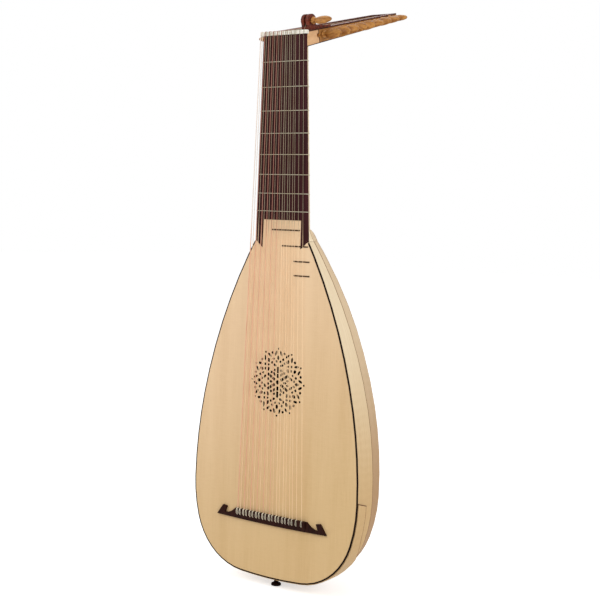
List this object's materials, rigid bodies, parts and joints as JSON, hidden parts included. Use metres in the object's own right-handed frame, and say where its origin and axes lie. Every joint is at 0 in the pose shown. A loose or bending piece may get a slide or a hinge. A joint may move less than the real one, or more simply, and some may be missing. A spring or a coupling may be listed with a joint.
{
  "type": "baroque lute",
  "caption": "Round-backed plucked instrument with a pierced rose, a bent-back pegbox with turning pegs, tied frets and gut strings.",
  "frame": {"origin": "middle of the end button's flat face, at the tail of the body", "axes": "+Z along the instrument from the tail to the nut, +X towards the treble strings, -Y out of the soundboard towards the player's right hand"},
  "size_m": [0.3088, 0.247, 0.8574],
  "materials": {
    "spruce": "pale spruce, thin satin varnish",
    "maple": "pale maple, satin varnish",
    "figured_maple": "golden tan figured wood, satin varnish",
    "neck_wood": "pale wood, satin varnish",
    "ebony": "near black wood, satin",
    "rosewood": "dark purple-brown wood, satin",
    "bone": "bone, polished",
    "plum": "dark red-brown wood, polished",
    "peg_wood": "golden tan turned wood, polished",
    "gut": "pale gut",
    "bass_gut": "reddish loaded gut"
  },
  "bodies": {
    "lute": {"soundboard": "spruce", "edge_binding": "ebony", "rib_01": "maple", "rib_02": "maple", "rib_03": "maple", "rib_04": "maple", "rib_05": "maple", "rib_06": "maple", "rib_07": "maple", "rib_08": "maple", "rib_09": "maple", "rib_10": "maple", "rib_11": "maple", "end_clasp": "maple", "end_button": "ebony", "neck": "neck_wood", "fingerboard": "rosewood", "nut": "bone", "bridge": "ebony", "pegbox": "figured_maple", "treble_rider": "plum", "tied_fret_1": "gut", "tied_fret_2": "gut", "tied_fret_3": "gut", "tied_fret_4": "gut", "tied_fret_5": "gut", "tied_fret_6": "gut", "tied_fret_7": "gut", "tied_fret_8": "gut", "string_course_01": "gut", "string_course_02": "gut", "string_course_03": "gut", "string_course_04": "gut", "string_course_05": "gut", "string_course_06": "bass_gut", "string_course_07": "bass_gut", "string_course_08": "bass_gut", "string_course_09": "bass_gut", "string_course_10": "bass_gut", "string_course_11": "bass_gut"},
    "peg_bass_01": {"peg_bass_01": "peg_wood"},
    "peg_bass_02": {"peg_bass_02": "peg_wood"},
    "peg_bass_03": {"peg_bass_03": "peg_wood"},
    "peg_bass_04": {"peg_bass_04": "peg_wood"},
    "peg_bass_05": {"peg_bass_05": "peg_wood"},
    "peg_bass_06": {"peg_bass_06": "peg_wood"},
    "peg_bass_07": {"peg_bass_07": "peg_wood"},
    "peg_bass_08": {"peg_bass_08": "peg_wood"},
    "peg_bass_09": {"peg_bass_09": "peg_wood"},
    "peg_bass_10": {"peg_bass_10": "peg_wood"},
    "peg_treble_01": {"peg_treble_01": "peg_wood"},
    "peg_treble_02": {"peg_treble_02": "peg_wood"},
    "peg_treble_03": {"peg_treble_03": "peg_wood"},
    "peg_treble_04": {"peg_treble_04": "peg_wood"},
    "peg_treble_05": {"peg_treble_05": "peg_wood"},
    "peg_treble_06": {"peg_treble_06": "peg_wood"},
    "peg_treble_07": {"peg_treble_07": "peg_wood"},
    "peg_treble_08": {"peg_treble_08": "peg_wood"},
    "peg_treble_09": {"peg_treble_09": "peg_wood"},
    "peg_rider": {"peg_rider": "peg_wood"}
  },
  "joints": [
    {"name": "turn_peg_bass_01", "type": "hinge", "parent": "lute", "child": "peg_bass_01", "pos_m": [-0.04531, 0.01271, 0.79761], "axis": [-1, 0, 0], "continuous": true},
    {"name": "turn_peg_bass_02", "type": "hinge", "parent": "lute", "child": "peg_bass_02", "pos_m": [-0.04386, 0.03454, 0.80328], "axis": [-1, 0, 0], "continuous": true},
    {"name": "turn_peg_bass_03", "type": "hinge", "parent": "lute", "child": "peg_bass_03", "pos_m": [-0.04242, 0.05638, 0.80896], "axis": [-1, 0, 0], "continuous": true},
    {"name": "turn_peg_bass_04", "type": "hinge", "parent": "lute", "child": "peg_bass_04", "pos_m": [-0.04097, 0.07821, 0.81463], "axis": [-1, 0, 0], "continuous": true},
    {"name": "turn_peg_bass_05", "type": "hinge", "parent": "lute", "child": "peg_bass_05", "pos_m": [-0.03953, 0.10005, 0.8203], "axis": [-1, 0, 0], "continuous": true},
    {"name": "turn_peg_bass_06", "type": "hinge", "parent": "lute", "child": "peg_bass_06", "pos_m": [-0.03808, 0.12188, 0.82597], "axis": [-1, 0, 0], "continuous": true},
    {"name": "turn_peg_bass_07", "type": "hinge", "parent": "lute", "child": "peg_bass_07", "pos_m": [-0.03664, 0.14372, 0.83164], "axis": [-1, 0, 0], "continuous": true},
    {"name": "turn_peg_bass_08", "type": "hinge", "parent": "lute", "child": "peg_bass_08", "pos_m": [-0.03519, 0.16555, 0.83731], "axis": [-1, 0, 0], "continuous": true},
    {"name": "turn_peg_bass_09", "type": "hinge", "parent": "lute", "child": "peg_bass_09", "pos_m": [-0.03375, 0.18739, 0.84299], "axis": [-1, 0, 0], "continuous": true},
    {"name": "turn_peg_bass_10", "type": "hinge", "parent": "lute", "child": "peg_bass_10", "pos_m": [-0.0323, 0.20922, 0.84866], "axis": [-1, 0, 0], "continuous": true},
    {"name": "turn_peg_treble_01", "type": "hinge", "parent": "lute", "child": "peg_treble_01", "pos_m": [0.02958, 0.02365, 0.80045], "axis": [1, 0, 0], "continuous": true},
    {"name": "turn_peg_treble_02", "type": "hinge", "parent": "lute", "child": "peg_treble_02", "pos_m": [0.02814, 0.04548, 0.80613], "axis": [1, 0, 0], "continuous": true},
    {"name": "turn_peg_treble_03", "type": "hinge", "parent": "lute", "child": "peg_treble_03", "pos_m": [0.02669, 0.06731, 0.8118], "axis": [1, 0, 0], "continuous": true},
    {"name": "turn_peg_treble_04", "type": "hinge", "parent": "lute", "child": "peg_treble_04", "pos_m": [0.02525, 0.08915, 0.81747], "axis": [1, 0, 0], "continuous": true},
    {"name": "turn_peg_treble_05", "type": "hinge", "parent": "lute", "child": "peg_treble_05", "pos_m": [0.0238, 0.11098, 0.82314], "axis": [1, 0, 0], "continuous": true},
    {"name": "turn_peg_treble_06", "type": "hinge", "parent": "lute", "child": "peg_treble_06", "pos_m": [0.02236, 0.13282, 0.82881], "axis": [1, 0, 0], "continuous": true},
    {"name": "turn_peg_treble_07", "type": "hinge", "parent": "lute", "child": "peg_treble_07", "pos_m": [0.02091, 0.15465, 0.83448], "axis": [1, 0, 0], "continuous": true},
    {"name": "turn_peg_treble_08", "type": "hinge", "parent": "lute", "child": "peg_treble_08", "pos_m": [0.01947, 0.17649, 0.84016], "axis": [1, 0, 0], "continuous": true},
    {"name": "turn_peg_treble_09", "type": "hinge", "parent": "lute", "child": "peg_treble_09", "pos_m": [0.01802, 0.19832, 0.84583], "axis": [1, 0, 0], "continuous": true},
    {"name": "turn_peg_rider", "type": "hinge", "parent": "lute", "child": "peg_rider", "pos_m": [0.034, -0.0065, 0.81574], "axis": [1, 0, 0], "continuous": true}
  ]
}
